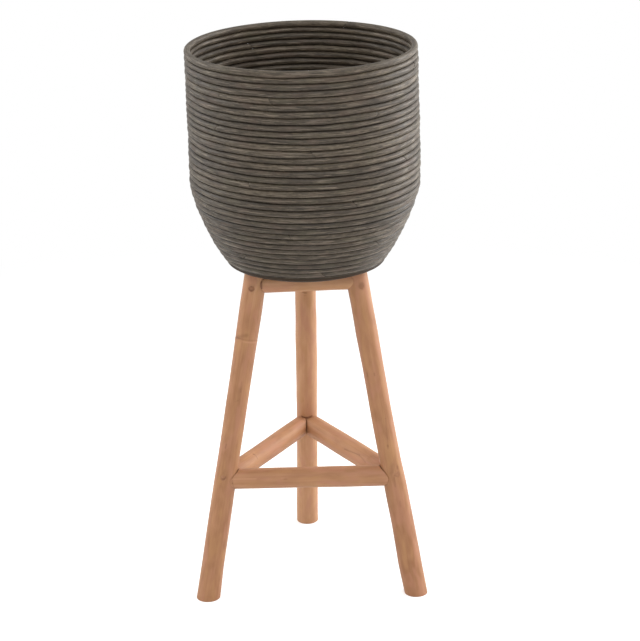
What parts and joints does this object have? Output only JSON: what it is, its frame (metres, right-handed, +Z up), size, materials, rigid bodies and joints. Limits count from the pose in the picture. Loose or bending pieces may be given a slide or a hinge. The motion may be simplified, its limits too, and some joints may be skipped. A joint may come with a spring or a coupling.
{
  "type": "standing planter",
  "caption": "Round basket of stacked cane hoops for a potted plant, open at the top, screwed to a splayed three-legged stand of round wooden poles.",
  "frame": {"origin": "on the floor, under the middle of the whole object's bounding box; the basket's axis stands 15.17 mm towards -Y of it", "axes": "+Z up, -Y towards the front, where two legs and the front stretcher are; the single leg is at the back, +Y"},
  "size_m": [0.3374, 0.3544, 0.8],
  "materials": {
    "cane": "weathered grey-brown round cane, dull",
    "leg_wood": "light brown round pole, satin",
    "rail_wood": "light brown round pole, satin",
    "plug_wood": "darker wooden plug, satin",
    "board": "plain plywood",
    "screw_steel": "zinc plated"
  },
  "bodies": {
    "root": {"leg_left": "leg_wood", "leg_right": "leg_wood", "leg_back": "leg_wood", "rail_front": "rail_wood", "rail_right": "rail_wood", "rail_left": "rail_wood", "stretcher_front": "rail_wood", "stretcher_right": "rail_wood", "stretcher_left": "rail_wood", "rail_screws": "screw_steel", "stretcher_screws": "screw_steel", "base_screws": "screw_steel", "rail_plugs": "plug_wood", "stretcher_plugs": "plug_wood", "base_board": "board", "rim_hoop": "cane", "hoop_02": "cane", "hoop_03": "cane", "hoop_04": "cane", "hoop_05": "cane", "hoop_06": "cane", "hoop_07": "cane", "hoop_08": "cane", "hoop_09": "cane", "hoop_10": "cane", "hoop_11": "cane", "hoop_12": "cane", "hoop_13": "cane", "hoop_14": "cane", "hoop_15": "cane", "hoop_16": "cane", "hoop_17": "cane", "hoop_18": "cane", "hoop_19": "cane", "hoop_20": "cane", "hoop_21": "cane", "hoop_22": "cane", "hoop_23": "cane", "hoop_24": "cane", "hoop_25": "cane", "hoop_26": "cane", "hoop_27": "cane", "hoop_28": "cane", "hoop_29": "cane", "hoop_30": "cane", "hoop_31": "cane", "hoop_32": "cane", "hoop_33": "cane", "hoop_34": "cane", "base_hoop": "cane"}
  },
  "joints": []
}
